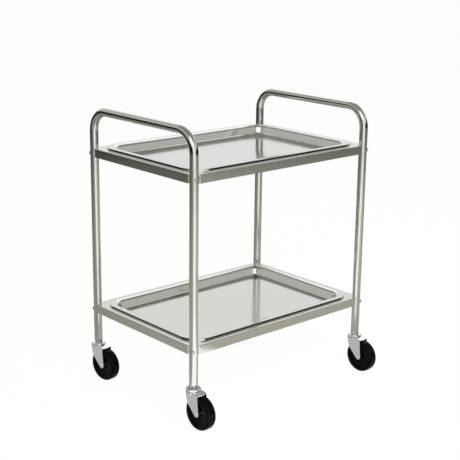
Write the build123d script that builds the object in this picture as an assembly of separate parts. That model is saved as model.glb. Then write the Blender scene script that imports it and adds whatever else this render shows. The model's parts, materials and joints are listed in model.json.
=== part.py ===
"""Two-tier stainless steel service trolley on four swivel casters.

Two bent tube frames, each a pair of legs with a push handle, carry two pressed trays.
Millimetres, +Z up, X along the trays, the origin on the floor under the middle of the whole object.
"""

import math
import os

from build123d import *

# Tube frames: each frame is one tube, bent to an upside-down U across the trolley
tube_diameter = 25.0
tube_wall = 1.2
frame_spacing = 670.0
leg_spacing = 464.0
handle_rise = 114.0
bend_radius = 63.0

# Trays: heights of the flat rims, and the pressed section from the rim inwards
upper_rim_height = 730.5
lower_rim_height = 241.0
shelf_sheet = 1.0
tube_proud = 3.0
apron_height = 26.0
apron_bend_inside = 1.0
rim_flat = 18.0
bead_height = 6.2
bead_rise_run = 1.4
bead_width = 23.0
basin_depth = 18.6
wall_run = 12.4
floor_margin = 4.0
floor_corner_radius = 22.0
bead_foot_radius = 0.5
bead_edge_inside = 0.3
bead_lip_inside = 13.0
wall_foot_radius = 4.7
foot_margin = 2.0

# Tray corners: each is drawn in round a leg and bolted through it along the diagonal
corner_clearance = 0.3
corner_edge_radius = 4.0
bolt_drop = 15.0
bolt_diameter = 6.0
bolt_hole_clearance = 0.2
bolt_head_diameter = 10.4
bolt_head_height = 3.6
bolt_head_rounding = 3.0
bolt_overrun = 3.0
seat_clearance = 0.05
brace_sheet = 2.0
brace_height = 20.0
brace_wing = 20.0
brace_top_gap = 1.5
washer_diameter = 12.0
washer_thickness = 1.2
nut_flats = 10.0
nut_thickness = 5.0

# Casters
wheel_diameter = 100.0
wheel_width = 31.0
trail = 32.0
leg_gap = 1.0
wheel_headroom = 7.0
fork_sheet = 2.0
crown_margin = 1.7
crown_back_height = 15.0
crown_flat_front = 20.0
crown_edge_radius = 2.5
lip_reach = 36.0
lip_bulge = 3.0
lip_drop = 3.0
cone_height = 32.0
leg_end_radius = 9.0
dish_radius = 21.3
dish_sheet = 2.0
dish_edge_radius = 1.6
dish_gap = 0.8
ball_diameter = 4.8
ball_side_gap = 1.4
ball_pitch_share = 1.12
stem_diameter = 12.0
stem_thread_length = 32.0
collar_flats = 22.0
collar_height = 10.0
collar_chamfer = 1.2
plug_length = 40.0
plug_clearance = 0.15
thrust_washer_diameter = 24.0
thrust_washer_thickness = 1.5
rivet_diameter = 17.0
rivet_height = 4.0
running_clearance = 0.05
axle_diameter = 8.0
axle_head_diameter = 10.4
axle_head_height = 1.6
axle_dimple_diameter = 4.0
axle_dimple_depth = 0.7
sleeve_wall = 2.5
sleeve_end_gap = 0.1

# Wheel section: a round-shouldered rubber tyre on a core whose sides dish in to a low hub
tyre_depth = 15.0
tyre_shoulder = 8.0
tyre_side_step = 1.5
core_rim_width = 24.0
web_thickness = 17.0
hub_diameter = 29.0
hub_width = 19.4
hub_edge_radius = 0.8

# How far each caster has swung from straight back, in degrees
caster_swing = {"front_left": 1.8, "front_right": 2.8, "back_left": 6.6, "back_right": 3.0}

# Derived sizes
tube_radius = tube_diameter / 2
handle_axis_height = upper_rim_height + handle_rise
apron_overhang = tube_radius - tube_proud
shelf_half_x = frame_spacing / 2 + apron_overhang
shelf_half_y = leg_spacing / 2 + apron_overhang
corner_radius = tube_radius + corner_clearance
ring_width = foot_margin + bead_width + wall_run + floor_margin
ring_corner_radius = floor_corner_radius + ring_width
brace_seat = corner_radius + shelf_sheet + seat_clearance
nut_seat = brace_seat + brace_sheet + washer_thickness
wheel_radius = wheel_diameter / 2
fork_top_half = dish_radius + crown_margin
fork_leg_half = wheel_width / 2 + leg_gap + fork_sheet
crown_top = wheel_diameter + wheel_headroom + fork_sheet
dish_under = crown_top + ball_diameter + 2 * running_clearance
dish_top = dish_under + dish_sheet
tube_end_height = dish_top + collar_height
stem_radius = stem_diameter / 2
ball_ring_radius = dish_radius - dish_sheet - ball_side_gap - ball_diameter / 2
axle_radius = axle_diameter / 2
sleeve_radius = axle_radius + running_clearance + sleeve_wall
core_radius = wheel_radius - tyre_depth

# The casters trail to the front, so the legs stand this far behind the middle of the whole object
legs_middle_y = (trail + wheel_radius - fork_top_half) / 2

# Each leg: its place, and the quarter turn that points its corner's +X +Y inwards
legs = {
    "front_left": Pos(-frame_spacing / 2, legs_middle_y - leg_spacing / 2) * Rot(0, 0, 0),
    "front_right": Pos(frame_spacing / 2, legs_middle_y - leg_spacing / 2) * Rot(0, 0, 90),
    "back_right": Pos(frame_spacing / 2, legs_middle_y + leg_spacing / 2) * Rot(0, 0, 180),
    "back_left": Pos(-frame_spacing / 2, legs_middle_y + leg_spacing / 2) * Rot(0, 0, 270),
}
rims = {"upper_shelf": upper_rim_height, "lower_shelf": lower_rim_height}


def ring(outer_radius, inner_radius, thickness):
    """A flat ring standing on the XY plane."""
    return extrude(Circle(outer_radius) - Circle(inner_radius), thickness)


def rod(radius, low, high):
    """A round bar along Z between two heights."""
    return Pos(0, 0, low) * extrude(Circle(radius), high - low)


def on_diagonal(height, piece):
    """Places a piece at a leg so that its +Z points along the corner's diagonal, inwards."""
    return Plane(origin=(0, 0, height), x_dir=(0, 0, 1), z_dir=(1, 1, 0)).location * piece


def bolt_hole(height):
    """The hole through leg and tray corner, along the diagonal."""
    reach = nut_seat + nut_thickness
    return on_diagonal(height, rod(bolt_diameter / 2 + bolt_hole_clearance, -reach, reach))


# Leg frame
def leg_frame(side):
    """One bent tube: two legs and the handle between them, open at both ends."""
    half = leg_spacing / 2
    axis = FilletPolyline(
        (-half, tube_end_height),
        (-half, handle_axis_height),
        (half, handle_axis_height),
        (half, tube_end_height),
        radius=bend_radius,
    )
    path = Plane(origin=(side * frame_spacing / 2, legs_middle_y, 0), x_dir=(0, 1, 0), z_dir=(1, 0, 0)) * axis
    end = Plane(origin=path @ 0, z_dir=path % 0)
    tube = sweep(end * Circle(tube_radius), path=path)
    tube -= sweep(end * Circle(tube_radius - tube_wall), path=path)
    for rim in rims.values():
        for name, leg in legs.items():
            if (leg.position.X > 0) == (side > 0):
                tube -= leg * bolt_hole(rim - bolt_drop)
    return tube


# Tray
def shelf_outline(inset):
    """The tray seen from above, inset by some sheet: a rectangle with a round bay at each leg."""
    outline = Rectangle(2 * (shelf_half_x - inset), 2 * (shelf_half_y - inset))
    bay = corner_radius + inset
    corner = Pos(-apron_overhang, -apron_overhang) * Rectangle(
        2 * apron_overhang, 2 * apron_overhang
    )
    for leg in legs.values():
        outline -= Pos(0, -legs_middle_y) * leg * (Circle(bay) + corner)
    on_bay = []
    for vertex in outline.vertices():
        to_leg = math.hypot(abs(vertex.X) - frame_spacing / 2, abs(vertex.Y) - leg_spacing / 2)
        if abs(to_leg - bay) < 1e-3:
            on_bay.append(vertex)
    return fillet(on_bay, corner_edge_radius - inset)


def shelf_ring():
    """The pressed ring between rim and floor: bead, sloped wall and the wall's foot, all one sheet."""
    path = RectangleRounded(
        2 * (shelf_half_x - rim_flat + foot_margin),
        2 * (shelf_half_y - rim_flat + foot_margin),
        ring_corner_radius,
    ).wire()
    inwards = Vector(0, 0, 1).cross(path % 0)
    foot = foot_margin
    wall_top = foot + bead_width
    wall_foot = wall_top + wall_run
    bead_edge = bead_edge_inside + shelf_sheet
    bead_lip = bead_lip_inside + shelf_sheet
    top = FilletPolyline(
        (0, 0),
        (foot, 0),
        (foot + bead_rise_run, bead_height),
        (wall_top, bead_height),
        (wall_foot, -basin_depth),
        (ring_width, -basin_depth),
        radius=[bead_foot_radius, bead_edge, bead_lip, wall_foot_radius],
    )
    section = make_face(offset(top, shelf_sheet, side=Side.RIGHT, closed=True))
    return sweep(Plane(origin=path @ 0, x_dir=inwards, z_dir=path % 0) * section, path=path)


def shelf(rim):
    """One pressed tray with its rim at the given height."""
    outside = extrude(shelf_outline(0), -apron_height)
    outside = fillet(outside.faces().sort_by(Axis.Z)[-1].edges(), apron_bend_inside + shelf_sheet)
    inside = Pos(0, 0, -shelf_sheet) * extrude(shelf_outline(shelf_sheet), -apron_height)
    inside = fillet(inside.faces().sort_by(Axis.Z)[-1].edges(), apron_bend_inside)
    opening_x = 2 * (shelf_half_x - rim_flat + foot_margin)
    opening_y = 2 * (shelf_half_y - rim_flat + foot_margin)
    opening = extrude(RectangleRounded(opening_x, opening_y, ring_corner_radius), -apron_height)
    floor_x = opening_x - 2 * ring_width
    floor_y = opening_y - 2 * ring_width
    floor = extrude(RectangleRounded(floor_x, floor_y, floor_corner_radius), -shelf_sheet)
    tray = outside - inside - opening + shelf_ring() + Pos(0, 0, -basin_depth) * floor
    tray = Pos(0, legs_middle_y, rim) * tray
    for leg in legs.values():
        tray -= leg * bolt_hole(rim - bolt_drop)
    return tray


# Tray corner hardware, made at a leg and repeated at all four
def at_each_leg(piece):
    """Four copies of a corner piece, one at each leg."""
    return Compound([leg * piece for leg in legs.values()])


def brace(rim):
    """A bent plate welded to both aprons behind the bay, with a flat middle for the nut."""
    apron_inside = apron_overhang - shelf_sheet
    bend = brace_seat * math.sqrt(2) + apron_inside
    line = Polyline(
        (-apron_inside, bend + brace_wing),
        (-apron_inside, bend),
        (bend, -apron_inside),
        (bend + brace_wing, -apron_inside),
    )
    plan = make_face(offset(line, brace_sheet, side=Side.LEFT, closed=True))
    plate = Pos(0, 0, rim - shelf_sheet - brace_top_gap) * extrude(plan, -brace_height)
    return plate - bolt_hole(rim - bolt_drop)


def bolt(rim):
    """A dome-head bolt, its head outside the tube."""
    head_seat = -(tube_radius + seat_clearance)
    head = rod(bolt_head_diameter / 2, head_seat - bolt_head_height, head_seat)
    head = fillet(head.edges().sort_by(Axis.Z)[0], bolt_head_rounding)
    shank = rod(bolt_diameter / 2, head_seat, nut_seat + nut_thickness + bolt_overrun)
    return on_diagonal(rim - bolt_drop, head + shank)


def washer(rim):
    """A plain washer between brace and nut."""
    plain = ring(washer_diameter / 2, bolt_diameter / 2 + bolt_hole_clearance, washer_thickness)
    return on_diagonal(rim - bolt_drop, Pos(0, 0, nut_seat - washer_thickness) * plain)


def nut(rim):
    """A hexagon nut."""
    hexagon = RegularPolygon(nut_flats / 2, 6, major_radius=False)
    hexagon -= Circle(bolt_diameter / 2 + seat_clearance)
    return on_diagonal(rim - bolt_drop, Pos(0, 0, nut_seat) * extrude(hexagon, nut_thickness))


# Caster, made with its stem on the Z axis, trailing along -Y
def stem_plug():
    """The threaded plug inside the tube end."""
    plug = ring(tube_radius - tube_wall - plug_clearance, stem_radius + seat_clearance, plug_length)
    return Pos(0, 0, tube_end_height) * plug


def stem():
    """The stem: threaded end, hexagon collar under the tube, and king pin with its riveted head."""
    hexagon = RegularPolygon(collar_flats / 2, 6, major_radius=False)
    collar = Pos(0, 0, dish_top) * extrude(hexagon, collar_height)
    rounded = rod(collar_flats / math.sqrt(3), dish_top, tube_end_height)
    rounded = chamfer(rounded.edges().filter_by(GeomType.CIRCLE), collar_chamfer)
    rivet_top = crown_top - fork_sheet - running_clearance - thrust_washer_thickness
    pin = rod(stem_radius, rivet_top - rivet_height, tube_end_height + stem_thread_length)
    rivet = rod(rivet_diameter / 2, rivet_top - rivet_height, rivet_top)
    rivet = fillet(rivet.edges().sort_by(Axis.Z)[0], rivet_height / 2)
    return (collar & rounded) + pin + rivet


def race_dish():
    """The pressed upper race: a shallow cup over the balls."""
    cup = rod(dish_radius, crown_top + dish_gap, dish_top)
    cup = fillet(cup.edges().filter_by(GeomType.CIRCLE).sort_by(Axis.Z)[-1], dish_edge_radius)
    cup -= rod(dish_radius - dish_sheet, crown_top, dish_under)
    return cup - rod(stem_radius + seat_clearance, 0, dish_top)


def balls():
    """The ring of balls between dish and crown."""
    count = int(2 * math.pi * ball_ring_radius / (ball_diameter * ball_pitch_share))
    height = crown_top + running_clearance + ball_diameter / 2
    places = PolarLocations(ball_ring_radius, count)
    return Compound([Pos(0, 0, height) * place * Sphere(ball_diameter / 2) for place in places])


def thrust_washer():
    """The washer between the crown's underside and the king pin's head."""
    low = crown_top - fork_sheet - running_clearance - thrust_washer_thickness
    plain = ring(thrust_washer_diameter / 2, stem_radius + seat_clearance, thrust_washer_thickness)
    return Pos(0, 0, low) * plain


def fork_legs(wall):
    """The legs' channel seen from above, a solid U that is round at the back."""
    half = fork_leg_half - wall
    front = trail + wheel_diameter
    return extrude(Circle(half) + Pos(0, -front / 2) * Rectangle(2 * half, front), crown_top)


def fork_cone(wall, edge_radius):
    """The cone under the crown, from the round of the dish down to the width of the legs."""
    low = crown_top - cone_height
    half = Polygon(
        (0, low),
        (fork_leg_half - wall, low),
        (fork_top_half - wall, crown_top),
        (0, crown_top),
        align=None,
    )
    if edge_radius > 0:
        corner = half.vertices().group_by(Axis.Y)[-1].sort_by(Axis.X)[-1]
        half = fillet(corner, edge_radius)
    return revolve(Plane.XZ * half, Axis.Z)


def fork():
    """The pressed fork: crown with a lip over the wheel, skirt round the back, and two legs to the axle."""
    back = fork_top_half
    end = Pos(-trail, wheel_radius) * Circle(leg_end_radius)
    crown = Polyline(
        (back, crown_top - crown_back_height),
        (back, crown_top),
        (-crown_flat_front, crown_top),
        (-lip_reach, crown_top - lip_drop),
    )
    side_view = Plane.YZ * make_hull(end.edges() + crown.edges())
    block = extrude(side_view, fork_leg_half, both=True)
    top_edges = [e for e in block.edges() if abs((e % 0.5).Y) > 0.9 and e.center().Z > crown_top - lip_drop]
    legs_outside = fillet(top_edges, crown_edge_radius) & fork_legs(0)
    cone_outside = fork_cone(0, crown_edge_radius) & extrude(side_view, 2 * fork_top_half, both=True)
    # The hollow under the crown, sloped like the lip
    fall = lip_drop / (lip_reach - crown_flat_front)
    front = trail + wheel_diameter
    ceiling = crown_top - fork_sheet
    hollow_view = Plane.YZ * Polygon(
        (2 * back, ceiling),
        (-crown_flat_front, ceiling),
        (-front, ceiling - fall * (front - crown_flat_front)),
        (-front, -crown_top),
        (2 * back, -crown_top),
        align=None,
    )
    hollow = fork_legs(fork_sheet) + fork_cone(fork_sheet, 0)
    hollow &= extrude(hollow_view, 2 * fork_top_half, both=True)
    # The lip's front edge bows forward between the legs
    lip_front = lip_reach + lip_bulge
    lip_half = fork_leg_half - crown_edge_radius
    lip_sides = Polyline(
        (-lip_half, -lip_reach),
        (-lip_half, -crown_flat_front),
        (lip_half, -crown_flat_front),
        (lip_half, -lip_reach),
    )
    lip_edge = ThreePointArc((-lip_half, -lip_reach), (0, -lip_front), (lip_half, -lip_reach))
    lip_plan = make_face(lip_sides + lip_edge)
    lip_low = fall * (lip_front - crown_flat_front)
    lip_view = Plane.YZ * Polygon(
        (-crown_flat_front, crown_top),
        (-lip_front, crown_top - lip_low),
        (-lip_front, ceiling - lip_low),
        (-crown_flat_front, ceiling),
        align=None,
    )
    lip = extrude(lip_plan, crown_top) & extrude(lip_view, fork_leg_half, both=True)
    shell = legs_outside + cone_outside - hollow + lip
    shell -= rod(stem_radius + running_clearance, 0, crown_top)
    axle_hole = rod(axle_radius + seat_clearance, -2 * fork_leg_half, 2 * fork_leg_half)
    return shell - wheel_place * axle_hole


def axle():
    """The axle: a pin riveted over at both ends."""
    half = fork_leg_half + seat_clearance
    pin = rod(axle_radius, -half, half)
    head = rod(axle_head_diameter / 2, half, half + axle_head_height)
    head = fillet(head.edges().sort_by(Axis.Z)[-1], axle_head_height / 2)
    head_top = half + axle_head_height
    head -= rod(axle_dimple_diameter / 2, head_top - axle_dimple_depth, head_top)
    return wheel_place * (pin + head + mirror(head, Plane.XY))


def axle_sleeve():
    """The sleeve that the wheel turns on, clamped between the legs."""
    length = wheel_width + 2 * leg_gap - 2 * sleeve_end_gap
    sleeve = ring(sleeve_radius, axle_radius + seat_clearance, length)
    return wheel_place * Pos(0, 0, -length / 2) * sleeve


def turned(section):
    """A body of revolution about the axle, from a section drawn as (radius, distance along the axle)."""
    return wheel_place * revolve(Plane.XZ * section, Axis.Z)


def wheel_core():
    """The wheel's core: a solid web that thins from the tyre towards a low hub."""
    bore = sleeve_radius + running_clearance
    hub_radius = hub_diameter / 2
    web = Polygon(
        (bore, -web_thickness / 2),
        (hub_radius, -web_thickness / 2),
        (core_radius, -core_rim_width / 2),
        (core_radius, core_rim_width / 2),
        (hub_radius, web_thickness / 2),
        (bore, web_thickness / 2),
        align=None,
    )
    hub = Pos((bore + hub_radius) / 2, 0) * Rectangle(hub_radius - bore, hub_width)
    hub = fillet(hub.vertices().group_by(Axis.X)[-1], hub_edge_radius)
    return turned(web + hub)


def tyre():
    """The tyre: rounded shoulders, and a side that steps in to the core."""
    seat = core_radius + seat_clearance
    half = wheel_width / 2
    band = Polygon(
        (seat, -half + tyre_side_step),
        (seat + tyre_side_step, -half),
        (wheel_radius, -half),
        (wheel_radius, half),
        (seat + tyre_side_step, half),
        (seat, half - tyre_side_step),
        align=None,
    )
    shoulders = band.vertices().group_by(Axis.X)[-1]
    return turned(fillet(shoulders, tyre_shoulder))


wheel_place = Pos(0, -trail, wheel_radius) * Rot(0, 90, 0)

# All pieces by node name
nodes = {"left_leg_frame": leg_frame(-1), "right_leg_frame": leg_frame(1)}
for shelf_name, rim_height in rims.items():
    nodes[shelf_name] = shelf(rim_height)
    nodes[shelf_name + "_braces"] = at_each_leg(brace(rim_height))
    nodes[shelf_name + "_bolts"] = at_each_leg(bolt(rim_height))
    nodes[shelf_name + "_washers"] = at_each_leg(washer(rim_height))
    nodes[shelf_name + "_nuts"] = at_each_leg(nut(rim_height))

caster_pieces = {
    "stem_plug": stem_plug(),
    "stem": stem(),
    "race_dish": race_dish(),
    "balls": balls(),
    "thrust_washer": thrust_washer(),
    "fork": fork(),
    "axle": axle(),
    "axle_sleeve": axle_sleeve(),
    "wheel_core": wheel_core(),
    "tyre": tyre(),
}
for leg_name, leg in legs.items():
    place = Pos(leg.position.X, leg.position.Y) * Rot(0, 0, caster_swing[leg_name])
    for piece_name, piece in caster_pieces.items():
        nodes[f"{leg_name}_{piece_name}"] = place * piece

os.makedirs("parts", exist_ok=True)
for node_name, piece in nodes.items():
    export_step(piece, f"parts/{node_name}.step")
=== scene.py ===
"""Dresses a two-tier stainless steel service trolley: tube frames, pressed trays and swivel casters."""

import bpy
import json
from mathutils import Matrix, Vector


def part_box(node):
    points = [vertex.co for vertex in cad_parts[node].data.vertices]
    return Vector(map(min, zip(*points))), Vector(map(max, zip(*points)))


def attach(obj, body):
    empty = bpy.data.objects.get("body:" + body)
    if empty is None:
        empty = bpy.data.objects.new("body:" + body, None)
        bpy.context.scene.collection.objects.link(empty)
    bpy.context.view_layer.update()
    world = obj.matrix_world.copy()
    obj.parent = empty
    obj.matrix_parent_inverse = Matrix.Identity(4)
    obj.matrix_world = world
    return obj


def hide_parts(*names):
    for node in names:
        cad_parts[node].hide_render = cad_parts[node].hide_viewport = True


bl_info = {
    "name": "Stainless Steel Trolley",
    "version": (1, 0, 0),
    "blender": (4, 5, 0),
    "location": "View3D > Sidebar > Trolley",
    "description": "Builds the visible pieces, finishes and studio of a two-tier stainless steel trolley",
    "category": "Object",
}

import json
import math

import bmesh
import bpy
from bpy.props import FloatProperty, FloatVectorProperty, IntProperty, PointerProperty
from mathutils import Matrix, Vector

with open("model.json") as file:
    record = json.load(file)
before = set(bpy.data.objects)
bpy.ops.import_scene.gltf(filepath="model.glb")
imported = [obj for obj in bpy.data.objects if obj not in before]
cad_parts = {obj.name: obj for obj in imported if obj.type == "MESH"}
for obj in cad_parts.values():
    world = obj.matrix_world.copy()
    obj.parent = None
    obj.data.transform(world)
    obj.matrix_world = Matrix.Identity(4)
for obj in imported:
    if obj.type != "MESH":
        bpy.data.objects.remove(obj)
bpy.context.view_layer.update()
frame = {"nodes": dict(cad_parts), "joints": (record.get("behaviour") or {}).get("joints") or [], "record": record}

MM = 0.001
LEGS = ("front_left", "front_right", "back_left", "back_right")
TRAYS = ("upper", "lower")
JOINTS = {joint["name"]: joint for joint in frame["joints"]}
BODIES = frame["record"]["behaviour"]["bodies"]
BODY_OF_NODE = {node: body for body, nodes in BODIES.items() for node in nodes}
SLOT_OF_NODE = {part["node"]: part["material_slot"] for part in frame["record"]["subparts"]}

# Sizes that the frame itself gives
tube_low, tube_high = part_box("left_leg_frame")
dish_low, dish_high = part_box("front_left_race_dish")
TUBE_RADIUS = (tube_high.x - tube_low.x) / 2
SWIVEL = Vector(JOINTS["front_left_swivel"]["pos_m"])
AXLE = Vector(JOINTS["front_left_wheel_spin"]["pos_m"])
TRAIL = (SWIVEL.xy - AXLE.xy).length

# Fineness of the meshes
COPY_MERGE = 0.002 * MM
SKIN_MERGE = 0.001 * MM
SHARP_DEGREES = 32.0
FOLD_DEGREES = 70.0
ROUND_SEGMENTS = 6
FOLD_SEGMENTS = 5
TRAY_CORNER_STEPS = 32
BAY_STEPS = 28
BAY_EDGE_STEPS = 14
DISH_STEPS = 72
AXLE_STEPS = 48
TYRE_STEPS = 128
CORE_STEPS = 96
FINE_EDGE = 0.3 * MM


def linear(hex_colour):
    """An sRGB hex colour as linear red, green, blue and alpha."""
    channels = []
    for start in (1, 3, 5):
        value = int(hex_colour[start:start + 2], 16) / 255
        channels.append(value / 12.92 if value <= 0.04045 else ((value + 0.055) / 1.055) ** 2.4)
    return (*channels, 1.0)


# Settings
def length(name, description, millimetres):
    """A length setting, written in millimetres and kept in metres."""
    return FloatProperty(
        name=name,
        description=description,
        default=millimetres * MM,
        min=0.0,
        precision=5,
        unit="LENGTH",
    )


def colour(name, description, hex_colour):
    """A colour setting, written as an sRGB hex value."""
    return FloatVectorProperty(
        name=name,
        description=description,
        default=linear(hex_colour),
        size=4,
        min=0.0,
        max=1.0,
        subtype="COLOR",
    )


def wattage(name, description, watts):
    """A lamp's power setting."""
    return FloatProperty(name=name, description=description, default=watts, unit="POWER")


class TubeSettings(bpy.types.PropertyGroup):
    """Sizes of the two bent tube frames"""

    wall: length("Wall", "Thickness of the tube's wall", 1.2)
    bend_radius: length("Bend radius", "Radius of the handle bends, at the tube's axis", 63.0)
    round_steps: IntProperty(name="Round steps", description="Faces round the tube", default=72, min=12)
    bend_steps: IntProperty(name="Bend steps", description="Rings in each handle bend", default=36, min=6)


class TraySettings(bpy.types.PropertyGroup):
    """Sizes of the pressed trays, from the apron inwards"""

    sheet: length("Sheet", "Thickness of the tray's sheet", 1.0)
    apron_bend: length("Apron bend", "Outside radius of the bend between rim and apron", 2.0)
    rim_flat: length("Rim", "Width of the flat rim outside the bead", 18.0)
    foot_margin: length("Foot margin", "Flat strip kept outside the bead's foot", 2.0)
    bead_height: length("Bead height", "Height of the raised bead over the rim", 6.2)
    bead_rise: length("Bead rise", "Run of the bead's outer slope", 1.4)
    bead_width: length("Bead width", "Width of the bead from its foot to the wall's top", 23.0)
    basin_depth: length("Basin depth", "Depth of the floor under the rim", 18.6)
    wall_run: length("Wall run", "Run of the sloped wall seen from above", 12.4)
    floor_margin: length("Floor margin", "Flat strip inside the wall's foot", 4.0)
    floor_corner: length("Floor corner", "Corner radius of the floor inside that strip", 22.0)
    bead_foot: length("Bead foot radius", "Radius where the bead leaves the rim", 0.5)
    bead_edge: length("Bead edge radius", "Radius of the bead's outer edge", 1.3)
    bead_lip: length("Bead lip radius", "Radius between bead and wall", 14.0)
    wall_foot: length("Wall foot radius", "Radius between wall and floor", 4.7)
    corner_clearance: length("Corner clearance", "Gap between the drawn-in corner and the leg", 0.3)
    corner_edge: length("Corner edge radius", "Radius where the apron turns into the drawn-in corner", 4.0)


class CasterSettings(bpy.types.PropertyGroup):
    """Sizes of the swivel casters"""

    tyre_depth: length("Tyre depth", "Thickness of the rubber tyre", 15.0)
    tyre_width: length("Tyre width", "Width of the tyre", 31.0)
    tyre_shoulder: length("Tyre shoulder", "Radius of the tyre's shoulders", 8.0)
    tyre_step: length("Tyre step", "Chamfer from the tyre's side in to the core", 1.5)
    tyre_seat: length("Tyre seat", "Fit between tyre and core", 0.05)
    rim_width: length("Core rim width", "Width of the core under the tyre", 24.0)
    web: length("Web", "Thickness of the core's dished web at the hub", 17.0)
    hub_diameter: length("Hub diameter", "Diameter of the core's hub", 29.0)
    hub_width: length("Hub width", "Width of the core's hub", 19.4)
    hub_bore: length("Hub bore", "Bore of the hub", 13.2)
    moulded_edge: length("Moulded edge", "Radius of the core's moulded edges", 0.6)
    dish_sheet: length("Dish sheet", "Thickness of the race dish", 2.0)
    dish_edge: length("Dish edge", "Radius of the race dish's edge", 1.6)
    dish_bore: length("Dish bore", "Bore of the race dish", 12.1)
    axle_diameter: length("Axle diameter", "Diameter of the axle", 8.0)
    axle_head: length("Axle head", "Diameter of the riveted axle head", 10.4)
    axle_head_height: length("Axle head height", "Height of the riveted axle head", 1.6)
    axle_dimple: length("Axle dimple", "Diameter of the dimple in the axle head", 4.0)
    axle_dimple_depth: length("Axle dimple depth", "Depth of the dimple in the axle head", 0.7)


class FinishSettings(bpy.types.PropertyGroup):
    """Colours of the finishes"""

    tube_steel: colour("Tube steel", "Polished stainless steel of the tubes", "#dbdad5")
    sheet_steel: colour("Sheet steel", "Stainless steel of the trays", "#dad9d5")
    fastener_steel: colour("Fastener steel", "Steel of bolts, nuts and stems", "#c6c3bf")
    zinc: colour("Zinc", "Zinc plating of the casters", "#f6fcfa")
    ball_steel: colour("Ball steel", "Ground steel of the swivel balls", "#d4d5d8")
    rubber: colour("Rubber", "Black rubber of the tyres", "#050505")
    rubber_bloom: colour("Rubber bloom", "Paler bloom on the rubber", "#0a0a09")
    plastic: colour("Plastic", "Black plastic of the wheel cores", "#050505")
    plastic_flow: colour("Plastic flow", "Paler flow marks in the plastic", "#0a0a0a")


class StageSettings(bpy.types.PropertyGroup):
    """The studio"""

    paper: colour("Paper", "Floor paper", "#e8e6d9")
    # Partly a dark floor beyond the paper, partly painted shade: the paper's edge rings the lamp, so metal mirrors
    # the lamp's light fading with distance
    painted_dark_floor: colour("Painted dark floor", "Dark floor beyond the paper", "#2a241e")
    floor_reach: length("Floor reach", "How far the floor goes on from the trolley", 40000.0)
    paper_end: length("Paper end", "How far round the lamp the floor paper reaches", 5600.0)
    paper_fade: length("Paper fade", "How far before and after that the paper fades", 500.0)
    lamp_power: wattage("Lamp", "Power of the main lamp", 58.0)
    lamp_size: length("Lamp size", "Width of the main lamp", 1400.0)
    lamp_height: length("Lamp height", "Height of the main lamp over the floor", 2000.0)
    lamp_ahead: length("Lamp distance", "How far the lamp stands in front of the trolley", 2000.0)
    lamp_aside: length("Lamp offset", "How far the lamp stands to the right of the camera", 900.0)
    side_power: wattage("Side lamp", "Power of the side lamp", 14.0)
    side_size: length("Side lamp size", "Width of the side lamp", 1600.0)
    side_height: length("Side lamp height", "Height of the side lamp over the floor", 2000.0)
    side_right: length("Side lamp right", "How far the side lamp stands to the trolley's right", 1400.0)
    side_back: length("Side lamp back", "How far the side lamp stands to the trolley's back", 600.0)
    # The long card and the screens below glow and are seen by metal alone: painted reflections
    card_near: length("Card near end", "How far before the trolley's middle the long card begins", 450.0)
    card_length: length("Card length", "Length of the long card", 2700.0)
    card_width: length("Card width", "Width of the long card at its near end", 800.0)
    card_far_width: length("Card far width", "Width of the long card at its far end", 1200.0)
    card_lift: length("Card lift", "Height of the long card over the floor", 4.0)
    # The ground card glows under the trolley: painted light where the trays shade the floor
    ground_left: length("Ground card left", "How far the card under the trolley reaches to the left", 640.0)
    ground_right: length("Ground card right", "How far that card reaches to the right", 500.0)
    ground_front: length("Ground card front", "How far that card reaches to the front", 420.0)
    ground_back: length("Ground card back", "How far that card reaches to the back", 620.0)
    ground_lift: length("Ground card lift", "Height of that card over the floor", 3.0)
    screen_distance: length("Screen distance", "How far the tall screen stands from the trolley", 3500.0)
    screen_width: length("Screen width", "Width of the tall screen", 4000.0)
    screen_height: length("Screen height", "Height of the tall screen", 2200.0)
    upper_near: length("Upper screen near end", "How far behind the trolley the upper screen begins", 900.0)
    upper_length: length("Upper screen length", "Length of the upper screen, away from the lens", 2000.0)
    upper_width: length("Upper screen width", "Width of the upper screen at its near end", 800.0)
    upper_far_width: length("Upper screen far width", "Width of the upper screen at its far end", 3900.0)
    upper_aside: length("Upper screen aside", "How far the upper screen hangs to the right", 120.0)
    upper_height: length("Upper screen height", "Height of the upper screen over the floor", 2000.0)


# How a metal's grain is scaled along each axis: even, or drawn out along the tray
EVEN_GRAIN = (1.0, 1.0, 1.0)
SHEET_GRAIN = (0.04, 1.0, 1.0)


# Materials
def add_node(tree, kind, settings=None, inputs=None):
    """Adds a node, sets its settings, and sets or links its inputs."""
    node = tree.nodes.new(kind)
    for name, value in (settings or {}).items():
        setattr(node, name, value)
    for name, value in (inputs or {}).items():
        if isinstance(value, bpy.types.NodeSocket):
            tree.links.new(value, node.inputs[name])
        else:
            node.inputs[name].default_value = value
    return node


def per_metre(millimetres):
    """The texture scale at which a pattern's features are this many millimetres apart."""
    return 1 / (millimetres * MM)


def empty_material(name):
    """A material without nodes, and its node tree."""
    material = bpy.data.materials.new(name)
    material.use_nodes = True
    material.node_tree.nodes.clear()
    return material, material.node_tree


def piece_material(name):
    """An empty material, its node tree, and the piece's own coordinates."""
    material, tree = empty_material(name)
    place = add_node(tree, "ShaderNodeTexCoord").outputs["Object"]
    return material, tree, place


def close_material(tree, shader):
    """Adds the material's output and links the shader to it."""
    add_node(tree, "ShaderNodeOutputMaterial", inputs={"Surface": shader.outputs["BSDF"]})


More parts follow.
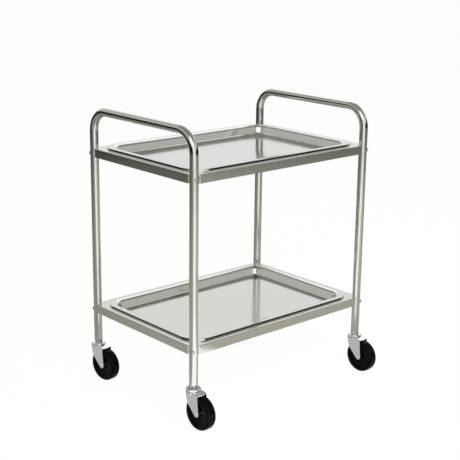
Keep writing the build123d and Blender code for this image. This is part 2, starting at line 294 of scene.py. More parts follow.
def metal(name, base, roughness, spread, grain_mm, cloud_mm, relief_mm, stretch=EVEN_GRAIN):
    """A bare or plated metal: a fine grain, even or drawn out, and clouds in its gloss."""
    material, tree, place = piece_material(name)
    grain_place = add_node(tree, "ShaderNodeMapping", inputs={"Vector": place, "Scale": stretch})
    grain = add_node(
        tree,
        "ShaderNodeTexNoise",
        inputs={"Vector": grain_place.outputs[0], "Scale": per_metre(grain_mm), "Detail": 3.0},
    )
    cloud = add_node(
        tree, "ShaderNodeTexNoise", inputs={"Vector": place, "Scale": per_metre(cloud_mm), "Detail": 2.0}
    )
    both = add_node(
        tree, "ShaderNodeMath", {"operation": "ADD"}, {0: grain.outputs["Fac"], 1: cloud.outputs["Fac"]}
    )
    gloss = add_node(
        tree,
        "ShaderNodeMapRange",
        inputs={
            "Value": both.outputs[0],
            "From Min": 0.6,
            "From Max": 1.4,
            "To Min": roughness - spread,
            "To Max": roughness + spread,
        },
    )
    relief = add_node(
        tree,
        "ShaderNodeBump",
        inputs={"Height": grain.outputs["Fac"], "Strength": 0.25, "Distance": relief_mm * MM},
    )
    shader = add_node(
        tree,
        "ShaderNodeBsdfPrincipled",
        inputs={
            "Base Color": base,
            "Metallic": 1.0,
            "Roughness": gloss.outputs[0],
            "Normal": relief.outputs[0],
        },
    )
    close_material(tree, shader)
    return material


def moulded(name, base, pale, roughness, spread, grit_mm, cloud_mm, relief_mm):
    """A moulded black: a grit in its relief, and a paler cloud in colour and gloss."""
    material, tree, place = piece_material(name)
    grit = add_node(
        tree, "ShaderNodeTexNoise", inputs={"Vector": place, "Scale": per_metre(grit_mm), "Detail": 2.0}
    )
    cloud = add_node(
        tree, "ShaderNodeTexNoise", inputs={"Vector": place, "Scale": per_metre(cloud_mm), "Detail": 3.0}
    )
    tone = add_node(
        tree,
        "ShaderNodeMix",
        {"data_type": "RGBA"},
        {"Factor": cloud.outputs["Fac"], "A": base, "B": pale},
    )
    gloss = add_node(
        tree,
        "ShaderNodeMapRange",
        inputs={
            "Value": cloud.outputs["Fac"],
            "From Min": 0.3,
            "From Max": 0.7,
            "To Min": roughness - spread,
            "To Max": roughness + spread,
        },
    )
    relief = add_node(
        tree,
        "ShaderNodeBump",
        inputs={"Height": grit.outputs["Fac"], "Strength": 0.3, "Distance": relief_mm * MM},
    )
    shader = add_node(
        tree,
        "ShaderNodeBsdfPrincipled",
        inputs={
            "Base Color": tone.outputs["Result"],
            "Specular IOR Level": 0.10,
            "Roughness": gloss.outputs[0],
            "Normal": relief.outputs[0],
        },
    )
    close_material(tree, shader)
    return material


def make_finishes(settings):
    """One material for each material slot of the record."""
    return {
        # Belt-polished stainless tube: a bright mirror, a little hazed by the polishing
        "stainless_tube": metal(
            "polished stainless tube",
            settings.tube_steel,
            roughness=0.13,
            spread=0.03,
            grain_mm=0.8,
            cloud_mm=60.0,
            relief_mm=0.001,
        ),
        # Bright rolled stainless sheet, finely brushed along the tray: a soft mirror
        "stainless_sheet": metal(
            "bright rolled stainless sheet",
            settings.sheet_steel,
            roughness=0.12,
            spread=0.03,
            grain_mm=0.9,
            cloud_mm=90.0,
            relief_mm=0.004,
            stretch=SHEET_GRAIN,
        ),
        # Plain machined steel: a duller shine with tool marks
        "fastener_steel": metal(
            "machined fastener steel",
            settings.fastener_steel,
            roughness=0.24,
            spread=0.06,
            grain_mm=0.5,
            cloud_mm=8.0,
            relief_mm=0.006,
        ),
        # Bright zinc plating on pressed steel: a cool white, faintly cloudy shine
        "zinc_plate": metal(
            "bright zinc plate",
            settings.zinc,
            roughness=0.20,
            spread=0.05,
            grain_mm=0.7,
            cloud_mm=12.0,
            relief_mm=0.008,
        ),
        # Ground and polished bearing steel: a clear mirror
        "ball_steel": metal(
            "ground ball steel",
            settings.ball_steel,
            roughness=0.08,
            spread=0.03,
            grain_mm=0.4,
            cloud_mm=3.0,
            relief_mm=0.001,
        ),
        # Moulded rubber: a deep black with a weak shine and a faint bloom
        "black_rubber": moulded(
            "moulded black rubber",
            settings.rubber,
            settings.rubber_bloom,
            roughness=0.20,
            spread=0.04,
            grit_mm=0.6,
            cloud_mm=9.0,
            relief_mm=0.02,
        ),
        # Injection-moulded polypropylene: a deep black with a weak shine and faint flow marks
        "black_plastic": moulded(
            "moulded black polypropylene",
            settings.plastic,
            settings.plastic_flow,
            roughness=0.20,
            spread=0.04,
            grit_mm=1.2,
            cloud_mm=14.0,
            relief_mm=0.02,
        ),
    }


FINISHES = {}


def finish_of(slot):
    """The material of one of the record's slots, made with the others on first use."""
    if not FINISHES:
        FINISHES.update(make_finishes(bpy.context.scene.trolley_finishes))
    return FINISHES[slot]


# Modelling
def new_piece(name, shape, nodes):
    """Makes a finished piece of a bmesh, with the finish and body of the CAD nodes that it stands for."""
    mesh = bpy.data.meshes.new(name)
    shape.to_mesh(mesh)
    shape.free()
    mesh.materials.append(finish_of(SLOT_OF_NODE[nodes[0]]))
    mesh.shade_smooth()
    mesh.set_sharp_from_angle(angle=math.radians(SHARP_DEGREES))
    piece = bpy.data.objects.new(name, mesh)
    bpy.context.scene.collection.objects.link(piece)
    weights = piece.modifiers.new("flats stay flat", "WEIGHTED_NORMAL")
    weights.keep_sharp = True
    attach(piece, BODY_OF_NODE[nodes[0]])
    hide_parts(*nodes)
    return piece


def merged_copy(node):
    """A CAD node's shape with its loose triangles merged."""
    shape = bmesh.new()
    shape.from_mesh(frame["nodes"][node].data)
    bmesh.ops.remove_doubles(shape, verts=shape.verts, dist=COPY_MERGE)
    return shape


def rounded_wire(shape, points, radii, closed):
    """A wire through the points, its corners rounded by the given radii."""
    corners = [shape.verts.new(point) for point in points]
    for first, second in zip(corners, corners[1:]):
        shape.edges.new((first, second))
    if closed:
        shape.edges.new((corners[-1], corners[0]))
    places = [Vector(point) for point in points]
    for index, radius in enumerate(radii):
        if radius <= 0:
            continue
        before = places[index] - places[index - 1]
        after = places[(index + 1) % len(places)] - places[index]
        tangent = radius * math.tan(before.angle(after) / 2)
        bmesh.ops.bevel(
            shape,
            geom=[corners[index]],
            offset=tangent,
            segments=ROUND_SEGMENTS,
            profile=0.5,
            affect="VERTICES",
            material=-1,
        )


def run_on(shape, edges, step):
    """Extrudes an open edge loop by a step and gives the new loop's edges."""
    grown = bmesh.ops.extrude_edge_only(shape, edges=edges)["geom"]
    verts = [item for item in grown if isinstance(item, bmesh.types.BMVert)]
    bmesh.ops.translate(shape, vec=step, verts=verts)
    return [item for item in grown if isinstance(item, bmesh.types.BMEdge)]


def bend_on(shape, edges, centre, axis, angle, steps):
    """Spins an open edge loop about an axis and gives the last loop's edges."""
    verts = list({vert for edge in edges for vert in edge.verts})
    grown = bmesh.ops.spin(
        shape, geom=verts + list(edges), cent=centre, axis=axis, angle=angle, steps=steps, use_merge=False
    )
    return [item for item in grown["geom_last"] if isinstance(item, bmesh.types.BMEdge)]


def turned(section, radii, closed, steps):
    """A body of revolution about Z from a half section of (radius, height) points."""
    shape = bmesh.new()
    rounded_wire(shape, [(radius, 0.0, height) for radius, height in section], radii, closed)
    bmesh.ops.spin(
        shape,
        geom=list(shape.verts) + list(shape.edges),
        cent=(0, 0, 0),
        axis=(0, 0, 1),
        angle=2 * math.pi,
        steps=steps,
        use_merge=True,
    )
    bmesh.ops.remove_doubles(shape, verts=shape.verts, dist=COPY_MERGE)
    bmesh.ops.recalc_face_normals(shape, faces=shape.faces)
    return shape


def caster_place(leg):
    """Where a caster stands: its stem's place on the floor, turned as far as the caster has swung."""
    x, y, _ = JOINTS[leg + "_swivel"]["pos_m"]
    axis = JOINTS[leg + "_wheel_spin"]["axis"]
    return Matrix.Translation((x, y, 0)) @ Matrix.Rotation(math.atan2(axis[1], axis[0]), 4, "Z")


def on_axle():
    """Lays a turned piece's axis along the axle of a caster that trails to the front."""
    return Matrix.Translation((0, -TRAIL, AXLE.z)) @ Matrix.Rotation(math.pi / 2, 4, "Y")


# Leg frames
def leg_tube(low, high, sizes):
    """One bent tube with its wall: up a leg, round to the handle, across, and down the other leg."""
    radius = (high.x - low.x) / 2
    axis_x = (low.x + high.x) / 2
    front, back = low.y + radius, high.y - radius
    handle = high.z - radius
    bend = sizes.bend_radius
    straight = handle - bend - low.z
    quarter = math.pi / 2
    steps = sizes.bend_steps
    shape = bmesh.new()
    bmesh.ops.create_circle(
        shape,
        radius=radius,
        segments=sizes.round_steps,
        matrix=Matrix.Translation((axis_x, front, low.z)),
    )
    loop = run_on(shape, list(shape.edges), (0, 0, straight))
    loop = bend_on(shape, loop, (axis_x, front + bend, handle - bend), (1, 0, 0), -quarter, steps)
    loop = run_on(shape, loop, (0, back - front - 2 * bend, 0))
    loop = bend_on(shape, loop, (axis_x, back - bend, handle - bend), (1, 0, 0), -quarter, steps)
    run_on(shape, loop, (0, 0, -straight))
    bmesh.ops.recalc_face_normals(shape, faces=shape.faces)
    bmesh.ops.solidify(shape, geom=list(shape.faces), thickness=sizes.wall)
    return shape


class TROLLEY_OT_leg_frames(bpy.types.Operator):
    """Builds the two bent tube frames, each a pair of legs and a push handle"""

    bl_idname = "trolley.leg_frames"
    bl_label = "Leg frames"

    def execute(self, context):
        for side in ("left", "right"):
            node = side + "_leg_frame"
            shape = leg_tube(*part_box(node), context.scene.trolley_tubes)
            new_piece(side + "_frame_tube", shape, [node])
        return {"FINISHED"}


# Trays
def lies_on(edge, axis):
    """True for an edge that lies in one of the tray's two middle planes."""
    return all(abs(vert.co[axis]) < SKIN_MERGE for vert in edge.verts)


def loop_end(edges, axis):
    """The vertex of an edge chain that lies in a middle plane."""
    return min({vert for edge in edges for vert in edge.verts}, key=lambda vert: abs(vert.co[axis]))


def press_section(shape, half_x, half_y, sizes):
    """The bead, sloped wall and foot round one quarter; gives the chains at the rim and at the floor."""
    wall_top = sizes.rim_flat + sizes.bead_width
    wall_foot = wall_top + sizes.wall_run
    floor_edge = wall_foot + sizes.floor_margin
    corner = sizes.floor_corner + floor_edge
    section = [
        (sizes.rim_flat - sizes.foot_margin, 0.0),
        (sizes.rim_flat, 0.0),
        (sizes.rim_flat + sizes.bead_rise, sizes.bead_height),
        (wall_top, sizes.bead_height),
        (wall_foot, -sizes.basin_depth),
        (floor_edge, -sizes.basin_depth),
    ]
    radii = (0, sizes.bead_foot, sizes.bead_edge, sizes.bead_lip, sizes.wall_foot, 0)
    rounded_wire(shape, [(0.0, across - half_y, height) for across, height in section], radii, False)
    loop = run_on(shape, list(shape.edges), (corner - half_x, 0, 0))
    centre = (corner - half_x, corner - half_y, 0)
    loop = bend_on(shape, loop, centre, (0, 0, 1), -math.pi / 2, TRAY_CORNER_STEPS)
    run_on(shape, loop, (0, half_y - corner, 0))
    chains = [e for e in shape.edges if e.is_boundary and not lies_on(e, 0) and not lies_on(e, 1)]
    middle = -sizes.basin_depth / 2
    rim_chain = [edge for edge in chains if edge.verts[0].co.z > middle]
    floor_chain = [edge for edge in chains if edge.verts[0].co.z < middle]
    return rim_chain, floor_chain


def apron_line(shape, half_x, half_y, leg_x, leg_y, sizes):
    """The line where rim and apron meet in one quarter: straight, drawn in round the leg, straight."""
    overhang = half_x - leg_x
    bay = TUBE_RADIUS + sizes.corner_clearance
    edge = sizes.corner_edge
    aside = overhang - edge
    along = math.sqrt((bay + edge) ** 2 - aside ** 2)
    lean = math.atan2(aside, along)
    up = (0, 0, 1)
    first = shape.verts.new((0, -half_y, 0))
    turn = shape.verts.new((along - leg_x, -half_y, 0))
    line = [shape.edges.new((first, turn))]
    arcs = [
        ((along - leg_x, -leg_y - aside, 0), -(math.pi / 2 + lean), BAY_EDGE_STEPS),
        ((-leg_x, -leg_y, 0), math.pi / 2 + 2 * lean, BAY_STEPS),
        ((-leg_x - aside, along - leg_y, 0), -(math.pi / 2 + lean), BAY_EDGE_STEPS),
    ]
    for centre, angle, steps in arcs:
        known = set(shape.edges)
        grown = bmesh.ops.spin(
            shape, geom=[turn], cent=centre, axis=up, angle=angle, steps=steps, use_merge=False
        )
        turn = next(item for item in grown["geom_last"] if isinstance(item, bmesh.types.BMVert))
        line += [item for item in shape.edges if item not in known]
    last = shape.verts.new((-half_x, 0, 0))
    line.append(shape.edges.new((turn, last)))
    return line


def tray_shape(low, high, leg_x, leg_front, sizes):
    """One pressed tray: a quarter of its skin, mirrored twice, bent at the apron and thickened."""
    half_x, half_y = (high.x - low.x) / 2, (high.y - low.y) / 2
    middle_y = (low.y + high.y) / 2
    rim = high.z - sizes.bead_height
    apron = rim - low.z
    shape = bmesh.new()
    rim_chain, floor_chain = press_section(shape, half_x, half_y, sizes)
    # Floor, to the middle of the tray
    middle = shape.verts.new((0, 0, -sizes.basin_depth))
    spokes = [shape.edges.new((middle, loop_end(floor_chain, axis))) for axis in (0, 1)]
    bmesh.ops.edgeloop_fill(shape, edges=floor_chain + spokes)
    # Flat rim, from the bead's foot to the apron
    line = apron_line(shape, half_x, half_y, leg_x, middle_y - leg_front, sizes)
    spokes = [shape.edges.new((loop_end(rim_chain, axis), loop_end(line, axis))) for axis in (0, 1)]
    bmesh.ops.edgeloop_fill(shape, edges=rim_chain + line + spokes)
    # Apron
    run_on(shape, line, (0, 0, -apron))
    for axis in ("X", "Y"):
        geometry = list(shape.verts) + list(shape.edges) + list(shape.faces)
        bmesh.ops.mirror(shape, geom=geometry, axis=axis, merge_dist=SKIN_MERGE)
    bmesh.ops.remove_doubles(shape, verts=shape.verts, dist=SKIN_MERGE)
    bmesh.ops.recalc_face_normals(shape, faces=shape.faces)
    steep = math.radians(FOLD_DEGREES)
    folds = [e for e in shape.edges if len(e.link_faces) == 2 and e.calc_face_angle() > steep]
    bmesh.ops.bevel(
        shape,
        geom=folds,
        offset=sizes.apron_bend,
        segments=FOLD_SEGMENTS,
        profile=0.5,
        affect="EDGES",
        material=-1,
    )
    bmesh.ops.recalc_face_normals(shape, faces=shape.faces)
    bmesh.ops.solidify(shape, geom=list(shape.faces), thickness=sizes.sheet)
    bmesh.ops.translate(shape, vec=(0, middle_y, rim), verts=shape.verts)
    return shape


class TROLLEY_OT_trays(bpy.types.Operator):
    """Presses the two trays, with bead, sloped wall, sunken floor and an apron drawn in round the legs"""

    bl_idname = "trolley.trays"
    bl_label = "Trays"

    def execute(self, context):
        leg_x = -tube_low.x - TUBE_RADIUS
        leg_front = tube_low.y + TUBE_RADIUS
        for tray in TRAYS:
            node = tray + "_shelf"
            low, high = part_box(node)
            shape = tray_shape(low, high, leg_x, leg_front, context.scene.trolley_trays)
            new_piece(tray + "_tray", shape, [node])
        return {"FINISHED"}


class TROLLEY_OT_corner_hardware(bpy.types.Operator):
    """Finishes the brace plates, bolts, washers and nuts at the tray corners"""

    bl_idname = "trolley.corner_hardware"
    bl_label = "Corner hardware"

    def execute(self, context):
        for tray in TRAYS:
            for kind in ("braces", "bolts", "washers", "nuts"):
                node = f"{tray}_shelf_{kind}"
                new_piece(f"{tray}_corner_{kind}", merged_copy(node), [node])
        return {"FINISHED"}


# Casters
def dish_shape(sizes):
    """The pressed race dish over the balls, turned about the stem."""
    outside = (dish_high.x - dish_low.x) / 2
    inside = outside - sizes.dish_sheet
    bore = sizes.dish_bore / 2
    under = dish_high.z - sizes.dish_sheet
    section = [
        (bore, dish_high.z),
        (bore, under),
        (inside, under),
        (inside, dish_low.z),
        (outside, dish_low.z),
        (outside, dish_high.z),
    ]
    radii = (FINE_EDGE, 0, FINE_EDGE, FINE_EDGE, FINE_EDGE, sizes.dish_edge)
    return turned(section, radii, True, DISH_STEPS)


class TROLLEY_OT_swivels(bpy.types.Operator):
    """Builds the swivel bearings: stems, plugs, race dishes, balls and thrust washers"""

    bl_idname = "trolley.swivels"
    bl_label = "Swivels"

    def execute(self, context):
        for leg in LEGS:
            shape = dish_shape(context.scene.trolley_casters)
            shape.transform(caster_place(leg))
            new_piece(f"race_dish_{leg}", shape, [f"{leg}_race_dish"])
            for kind in ("stem_plug", "stem", "balls", "thrust_washer"):
                new_piece(f"{kind}_{leg}", merged_copy(f"{leg}_{kind}"), [f"{leg}_{kind}"])
        return {"FINISHED"}


def both_sides(side, radii):
    """A half section's upper side with its radii, and the same mirrored below."""
    return side + [(radius, -height) for radius, height in reversed(side)], radii + radii[::-1]


def axle_shape(half, sizes):
    """The axle, riveted over at both ends with a dimple in each head."""
    pin = sizes.axle_diameter / 2
    head = sizes.axle_head / 2
    dimple = sizes.axle_dimple / 2
    seat = half - sizes.axle_head_height
    floor = half - sizes.axle_dimple_depth
    side = [(0.0, floor), (dimple, floor), (dimple, half), (head, half), (head, seat), (pin, seat)]
    radii = (0, FINE_EDGE, FINE_EDGE, sizes.axle_head_height / 2, FINE_EDGE, 0)
    return turned(*both_sides(side, radii), False, AXLE_STEPS)


class TROLLEY_OT_forks(bpy.types.Operator):
    """Builds the pressed forks with their axles and sleeves"""

    bl_idname = "trolley.forks"
    bl_label = "Forks"

    def execute(self, context):
        sizes = context.scene.trolley_casters
        for leg in LEGS:
            new_piece(f"fork_{leg}", merged_copy(f"{leg}_fork"), [f"{leg}_fork"])
            new_piece(f"axle_sleeve_{leg}", merged_copy(f"{leg}_axle_sleeve"), [f"{leg}_axle_sleeve"])
            low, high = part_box(f"{leg}_axle")
            axis = Vector(JOINTS[leg + "_wheel_spin"]["axis"])
            head_y = sizes.axle_head * abs(axis.y)
            shape = axle_shape((high.x - low.x - head_y) / 2 / abs(axis.x), sizes)
            shape.transform(caster_place(leg) @ on_axle())
            new_piece(f"axle_{leg}", shape, [f"{leg}_axle"])
        return {"FINISHED"}


def tyre_shape(sizes):
    """The rubber tyre: rounded shoulders, and a chamfer from each side in to the core."""
    half = sizes.tyre_width / 2
    seat = AXLE.z - sizes.tyre_depth + sizes.tyre_seat
    step = sizes.tyre_step
    edge = 2 * step
    section = [
        (seat, step - half),
        (seat + step, -half),
        (AXLE.z, -half),
        (AXLE.z, half),
        (seat + step, half),
        (seat, half - step),
    ]
    radii = (0, edge, sizes.tyre_shoulder, sizes.tyre_shoulder, edge, 0)
    return turned(section, radii, True, TYRE_STEPS)


def core_shape(sizes):
    """The wheel core: a web that dishes in from the tyre to a low hub, with moulded edges."""
    bore = sizes.hub_bore / 2
    hub = sizes.hub_diameter / 2
    edge = sizes.moulded_edge
    side = [
        (bore, sizes.hub_width / 2),
        (hub, sizes.hub_width / 2),
        (hub, sizes.web / 2),
        (AXLE.z - sizes.tyre_depth, sizes.rim_width / 2),
    ]
    return turned(*both_sides(side, (0, edge, edge, 0)), True, CORE_STEPS)


class TROLLEY_OT_wheels(bpy.types.Operator):
    """Turns the wheels: a rubber tyre on a moulded core"""

    bl_idname = "trolley.wheels"
    bl_label = "Wheels"

    def execute(self, context):
        sizes = context.scene.trolley_casters
        for leg in LEGS:
            for kind, make in (("tyre", tyre_shape), ("wheel_core", core_shape)):
                shape = make(sizes)
                shape.transform(caster_place(leg) @ on_axle())
                new_piece(f"{kind}_{leg}", shape, [f"{leg}_{kind}"])
        return {"FINISHED"}


# Studio
VIEW_YAW = math.radians(-41.595)
VIEW_PITCH = math.radians(15.482)
VIEW_ROLL = math.radians(0.690)
EYE = Vector((-2.1706, -2.4176, 1.3742))
LENS_MM = 86.28
SENSOR_MM = 36.0
VIEW_END = 200.0
AWAY = Vector((math.sin(-VIEW_YAW), math.cos(-VIEW_YAW), 0))
RIGHT = Vector((AWAY.y, -AWAY.x, 0))
# How far the long card and the tall screen are turned to the right
CARD_TURN = 0.15
SCREEN_TURN = 0.18
# Glow of the cards and screens, as metal sees them: painted reflections, and painted light under the trolley from
# the ground card
PAINTED_CARD_GLOW = 1.3
PAINTED_GROUND_GLOW = 0.46
PAINTED_SCREEN_GLOW = 1.1
PAINTED_UPPER_GLOW = 1.4
# How white the lens sees the floor, and how much of that hides the floor's shading
FLOOR_LEVEL = 1.03
FLOOR_SHARE = 0.95
# Painted reflection of a room, seen by metal alone: its grey from the horizon up, as sine of the elevation and
# level, a little weaker in blue
PAINTED_ROOM_STOPS = (
    (0.0, 0.006),
    (0.17, 0.015),
    (0.25, 0.50),
    (0.32, 0.59),
    (0.56, 0.58),
    (0.68, 0.32),
    (1.0, 0.28),
)
ROOM_BLUE = 0.94
ROOM_FILL = (0.10, 0.10, 0.10, 1.0)
WHITE = (1.0, 1.0, 1.0, 1.0)
# Painted reflections of glowing screens of white, which light nothing: direction, cosines where each begins and is
# full, and level
PAINTED_SCREENS = (
    (AWAY, 0.60, 0.84, 0.92),
    (Vector((0, 0, 0.65)) - AWAY, 0.85, 0.92, 1.40),
    (0.80 * RIGHT - 0.60 * AWAY + Vector((0, 0, 0.45)), 0.93, 0.98, 0.70),
)


def paper_material(settings, middle):
    """Matt white paper in a dark room: the lens sees it white with a shadow, metal sees how it is lit, and its
    colour turns dark at a ring round the lamp as painted fall-off of the lamp's light.
    """
    material, tree = empty_material("matt white paper")
    ray = add_node(tree, "ShaderNodeLightPath")
    place = add_node(tree, "ShaderNodeTexCoord").outputs["Object"]
    # Painted shade: beyond a ring round the lamp the paper's colour fades to the dark floor
    reach = add_node(tree, "ShaderNodeVectorMath", {"operation": "DISTANCE"}, {0: place, 1: middle})
    beyond = add_node(
        tree,
        "ShaderNodeMapRange",
        {"interpolation_type": "SMOOTHSTEP"},
        {
            "Value": reach.outputs["Value"],
            "From Min": settings.paper_end - settings.paper_fade,
            "From Max": settings.paper_end + settings.paper_fade,
        },
    )
    tone = add_node(
        tree,
        "ShaderNodeMix",
        {"data_type": "RGBA"},
        {"Factor": beyond.outputs[0], "A": settings.paper, "B": settings.painted_dark_floor},
    )
    lit = add_node(
        tree,
        "ShaderNodeBsdfDiffuse",
        inputs={"Color": tone.outputs["Result"], "Roughness": 0.6},
    )
    white = add_node(tree, "ShaderNodeEmission", inputs={"Color": WHITE, "Strength": FLOOR_LEVEL})
    share = add_node(
        tree,
        "ShaderNodeMath",
        {"operation": "MULTIPLY"},
        {0: ray.outputs["Is Camera Ray"], 1: FLOOR_SHARE},
    )
    mixed = add_node(
        tree,
        "ShaderNodeMixShader",
        inputs={0: share.outputs[0], 1: lit.outputs[0], 2: white.outputs[0]},
    )
    add_node(tree, "ShaderNodeOutputMaterial", inputs={"Surface": mixed.outputs[0]})
    return material


def painted_glow_material(name, level):
    """A glowing sheet that is no lamp: a painted reflection of a white card or screen in full light, as metal
    mirrors it.
    """
    material, tree = empty_material(name)
    glow = add_node(tree, "ShaderNodeEmission", inputs={"Color": WHITE, "Strength": level})
    add_node(tree, "ShaderNodeOutputMaterial", inputs={"Surface": glow.outputs[0]})
    return material


def stage_sheet(name, material, corners):
    """A flat sheet of the studio through its corners."""
    shape = bmesh.new()
    shape.faces.new([shape.verts.new(corner) for corner in corners])
    mesh = bpy.data.meshes.new(name)
    shape.to_mesh(mesh)
    shape.free()
    mesh.materials.append(material)
    sheet = bpy.data.objects.new(name, mesh)
    bpy.context.scene.collection.objects.link(sheet)
    return sheet


def studio_world():
    """The room: white to the lens, and to metal a painted reflection of a dark horizon and grey above, with
    glowing screens of white; other rays see only an even grey fill.
    """
    world = bpy.data.worlds.new("studio room")
    world.use_nodes = True
    tree = world.node_tree
    tree.nodes.clear()
    ray = add_node(tree, "ShaderNodeLightPath")
    towards = add_node(tree, "ShaderNodeTexCoord").outputs["Generated"]
    height = add_node(tree, "ShaderNodeSeparateXYZ", inputs={0: towards})
    sides = add_node(tree, "ShaderNodeValToRGB", inputs={"Fac": height.outputs["Z"]})
    ramp = sides.color_ramp
    while len(ramp.elements) < len(PAINTED_ROOM_STOPS):
        ramp.elements.new(1.0)
    for element, (place, level) in zip(ramp.elements, PAINTED_ROOM_STOPS):
        element.position = place
        element.color = (level, level, ROOM_BLUE * level, 1.0)
    # Painted reflection for metal: the grey ramp, with each glowing screen mixed over it
    mirrored = sides.outputs["Color"]
    for direction, edge, full, level in PAINTED_SCREENS:
        near = add_node(
            tree,
            "ShaderNodeVectorMath",
            {"operation": "DOT_PRODUCT"},
            {0: towards, 1: direction.normalized()},
        )
        share = add_node(
            tree,
            "ShaderNodeMapRange",
            {"interpolation_type": "SMOOTHSTEP"},
            {"Value": near.outputs["Value"], "From Min": edge, "From Max": full},
        )
        screen = (level, level, level, 1.0)
        mirrored = add_node(
            tree,
            "ShaderNodeMix",
            {"data_type": "RGBA"},
            {"Factor": share.outputs[0], "A": mirrored, "B": screen},
        ).outputs["Result"]
    fill = add_node(
        tree,
        "ShaderNodeMix",
        {"data_type": "RGBA"},
        {"Factor": ray.outputs["Is Glossy Ray"], "A": ROOM_FILL, "B": mirrored},
    )
    seen = add_node(
        tree,
        "ShaderNodeMix",
        {"data_type": "RGBA"},
        {"Factor": ray.outputs["Is Camera Ray"], "A": fill.outputs["Result"], "B": WHITE},
    )
    glow = add_node(tree, "ShaderNodeBackground", inputs={"Color": seen.outputs["Result"], "Strength": 1.0})
    add_node(tree, "ShaderNodeOutputWorld", inputs={"Surface": glow.outputs[0]})
    return world


def painted_reflection_sheet(name, material, near, far, near_side, far_side):
    """A glowing card or screen between two ends with half widths of their own, seen by metal alone as a painted
    reflection.
    """
    corners = [near - near_side, near + near_side, far + far_side, far - far_side]
    sheet = stage_sheet(name, material, corners)
    sheet.visible_camera = False
    sheet.visible_diffuse = False
    sheet.visible_shadow = False


def lifted(height):
    """A step straight up."""
    return Vector((0, 0, height))


def crosswise(along):
    """The level direction across another one."""
    return Vector((-along.y, along.x, 0))


def set_cards(settings):
    """Lays the two glowing cards on the floor: a painted reflection in front of the trolley and painted light
    under it.
    """
    along = (RIGHT * CARD_TURN - AWAY).normalized()
    half = crosswise(along) / 2
    near = along * settings.card_near + lifted(settings.card_lift)
    painted_reflection_sheet(
        "painted_reflection_card",
        painted_glow_material("painted reflection card", PAINTED_CARD_GLOW),
        near,
        near + along * settings.card_length,
        half * settings.card_width,
        half * settings.card_far_width,
    )
    # A glowing card under the trolley: painted light on the floor that the trays shade, as metal mirrors it
    middle_x = (settings.ground_right - settings.ground_left) / 2
    half_x = Vector(((settings.ground_right + settings.ground_left) / 2, 0, 0))
    painted_reflection_sheet(
        "painted_ground_light",
        painted_glow_material("painted light under the trolley", PAINTED_GROUND_GLOW),
        Vector((middle_x, -settings.ground_front, settings.ground_lift)),
        Vector((middle_x, settings.ground_back, settings.ground_lift)),
        half_x,
        half_x,
    )


def set_screens(settings):
    """Stands the tall screen on the lens's side and hangs the upper screen behind the trolley, both glowing sheets
    that paint reflections in the metal.
    """
    facing = (RIGHT * SCREEN_TURN - AWAY).normalized()
    foot = facing * settings.screen_distance
    half = crosswise(facing) * settings.screen_width / 2
    painted_reflection_sheet(
        "painted_reflection_screen",
        painted_glow_material("painted reflection screen", PAINTED_SCREEN_GLOW),
        foot,
        foot + lifted(settings.screen_height),
        half,
        half,
    )
    near = AWAY * settings.upper_near + RIGHT * settings.upper_aside + lifted(settings.upper_height)
    painted_reflection_sheet(
        "painted_reflection_upper_screen",
        painted_glow_material("painted reflection upper screen", PAINTED_UPPER_GLOW),
        near,
        near + AWAY * settings.upper_length,
        RIGHT * settings.upper_width / 2,
        RIGHT * settings.upper_far_width / 2,
    )


def hang_lamp(name, place, size, power):
    """A round softbox that shines straight down and isn't mirrored itself."""
    lamp = bpy.data.lights.new(name, "AREA")
    lamp.shape = "DISK"
    lamp.size = size
    lamp.energy = power
    softbox = bpy.data.objects.new(name, lamp)
    softbox.visible_glossy = False
    softbox.location = place
    bpy.context.scene.collection.objects.link(softbox)


def studio_camera():
    """The camera, where the photographer's stood."""
    lens = bpy.data.cameras.new("camera")
    lens.lens = LENS_MM
    lens.sensor_width = SENSOR_MM
    lens.clip_end = VIEW_END
    camera = bpy.data.objects.new("camera", lens)
    turn = (
        Matrix.Rotation(VIEW_YAW, 4, "Z")
        @ Matrix.Rotation(math.pi / 2 - VIEW_PITCH, 4, "X")
        @ Matrix.Rotation(VIEW_ROLL, 4, "Z")
    )
    camera.matrix_world = Matrix.Translation(EYE) @ turn
    bpy.context.scene.collection.objects.link(camera)
    return camera


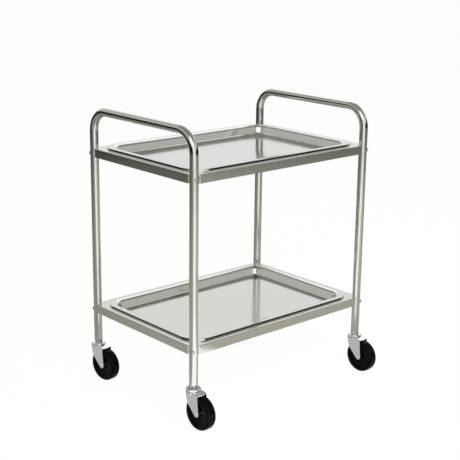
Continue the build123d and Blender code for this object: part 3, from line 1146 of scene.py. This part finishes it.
class TROLLEY_OT_stage(bpy.types.Operator):
    """Sets the floor paper, the cards and screens, the lamps, the room and the camera"""

    bl_idname = "trolley.stage"
    bl_label = "Studio"

    def execute(self, context):
        scene = context.scene
        settings = scene.trolley_stage
        reach = settings.floor_reach
        corners = [(-reach, -reach, 0), (reach, -reach, 0), (reach, reach, 0), (-reach, reach, 0)]
        under_lamp = RIGHT * settings.lamp_aside - AWAY * settings.lamp_ahead
        stage_sheet("floor_paper", paper_material(settings, under_lamp), corners)
        set_cards(settings)
        set_screens(settings)
        lamp_place = under_lamp + lifted(settings.lamp_height)
        hang_lamp("softbox", lamp_place, settings.lamp_size, settings.lamp_power)
        side_place = Vector((settings.side_right, settings.side_back, settings.side_height))
        hang_lamp("side_softbox", side_place, settings.side_size, settings.side_power)
        scene.world = studio_world()
        scene.camera = studio_camera()
        scene.view_settings.view_transform = "Standard"
        return {"FINISHED"}


class TROLLEY_PT_sidebar(bpy.types.Panel):
    """Lists the trolley's settings and the operators that build it"""

    bl_idname = "TROLLEY_PT_sidebar"
    bl_label = "Stainless Steel Trolley"
    bl_space_type = "VIEW_3D"
    bl_region_type = "UI"
    bl_category = "Trolley"

    def draw(self, context):
        for operator in OPERATORS:
            self.layout.operator(operator.bl_idname)
        for setting, group in SETTINGS.items():
            box = self.layout.box()
            box.label(text=group.__doc__)
            for name in group.__annotations__:
                box.prop(getattr(context.scene, setting), name)


SETTINGS = {
    "trolley_tubes": TubeSettings,
    "trolley_trays": TraySettings,
    "trolley_casters": CasterSettings,
    "trolley_finishes": FinishSettings,
    "trolley_stage": StageSettings,
}
OPERATORS = (
    TROLLEY_OT_stage,
    TROLLEY_OT_leg_frames,
    TROLLEY_OT_trays,
    TROLLEY_OT_corner_hardware,
    TROLLEY_OT_swivels,
    TROLLEY_OT_forks,
    TROLLEY_OT_wheels,
)


def register():
    """Adds the settings, operators and panel."""
    for group in SETTINGS.values():
        bpy.utils.register_class(group)
    for operator in OPERATORS:
        bpy.utils.register_class(operator)
    bpy.utils.register_class(TROLLEY_PT_sidebar)
    for setting, group in SETTINGS.items():
        setattr(bpy.types.Scene, setting, PointerProperty(type=group))


def unregister():
    """Removes the panel, operators and settings."""
    for setting in SETTINGS:
        delattr(bpy.types.Scene, setting)
    bpy.utils.unregister_class(TROLLEY_PT_sidebar)
    for operator in reversed(OPERATORS):
        bpy.utils.unregister_class(operator)
    for group in reversed(SETTINGS.values()):
        bpy.utils.unregister_class(group)


def main():
    register()
    bpy.ops.trolley.stage()
    bpy.ops.trolley.leg_frames()
    bpy.ops.trolley.trays()
    bpy.ops.trolley.corner_hardware()
    bpy.ops.trolley.swivels()
    bpy.ops.trolley.forks()
    bpy.ops.trolley.wheels()


if __name__ == "__main__":
    main()
